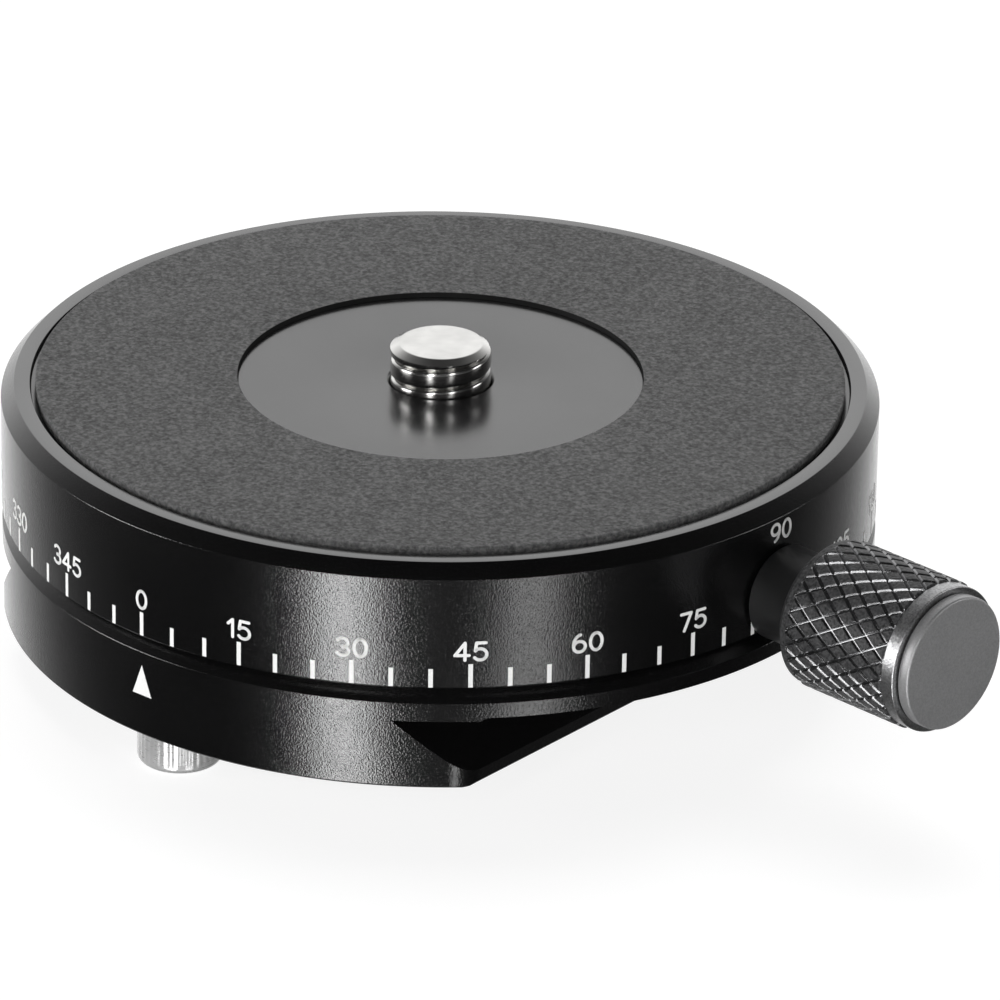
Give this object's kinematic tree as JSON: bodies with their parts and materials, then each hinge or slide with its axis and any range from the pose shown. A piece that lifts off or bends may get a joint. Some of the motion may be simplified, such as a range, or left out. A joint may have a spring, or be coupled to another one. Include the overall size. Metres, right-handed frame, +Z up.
{
  "type": "panning plate",
  "caption": "Round panning plate with a dovetail foot, a graduated turntable with a rubber pad and camera stud, and a knurled side lock knob.",
  "frame": {"origin": "the pan axis at the underside of the dovetail foot", "axes": "+Z up along the pan axis, Y along the dovetail foot with the zero of the scale at -Y, +X towards the lock knob"},
  "size_m": [0.0695, 0.055, 0.02],
  "materials": {
    "black_anodised": "fine bead-blasted, black anodised",
    "grey_knurled": "dark grey anodised, diamond knurled",
    "satin_cap": "grey anodised, satin turned",
    "pad_rubber": "fine matt leather-like grain",
    "bright_steel": "bright turned stainless steel",
    "zinc_steel": "bright plated, straight knurled head",
    "dark_steel": "black oxide",
    "turned_steel": "fine turned",
    "glide_plastic": "smooth slippery plastic",
    "shoe_brass": "machined"
  },
  "bodies": {
    "base": {"base_plate": "black_anodised", "spindle": "turned_steel", "spindle_screw_1": "dark_steel", "spindle_screw_2": "dark_steel", "spindle_screw_3": "dark_steel", "glide_ring": "glide_plastic", "stop_screw_front": "zinc_steel", "stop_screw_rear": "zinc_steel"},
    "turntable": {"turntable": "black_anodised", "grip_pad": "pad_rubber", "camera_stud": "bright_steel", "retainer_ring": "turned_steel", "retainer_screw_1": "dark_steel", "retainer_screw_2": "dark_steel", "retainer_screw_3": "dark_steel", "retainer_screw_4": "dark_steel", "glide_washer_upper": "glide_plastic", "glide_washer_lower": "glide_plastic"},
    "brake": {"brake_shoe": "shoe_brass"},
    "lock": {"lock_screw": "dark_steel", "lock_knob": "grey_knurled", "knob_cap": "satin_cap"}
  },
  "joints": [
    {"name": "pan", "type": "hinge", "parent": "base", "child": "turntable", "pos_m": [0, 0, 0], "axis": [0, 0, 1], "continuous": true},
    {"name": "lock_travel", "type": "slide", "parent": "turntable", "child": "brake", "axis": [0.998, -0.0628, 0], "range_m": [0, 0.000375]},
    {"name": "lock_turn", "type": "hinge", "parent": "brake", "child": "lock", "pos_m": [0.00011, 0.00169, 0.00903], "axis": [0.998, -0.0628, 0], "range_deg": [0, 270]}
  ],
  "couplings": [
    {"joint": "lock_turn", "follows": "lock_travel", "rad_per_m": 12566}
  ]
}
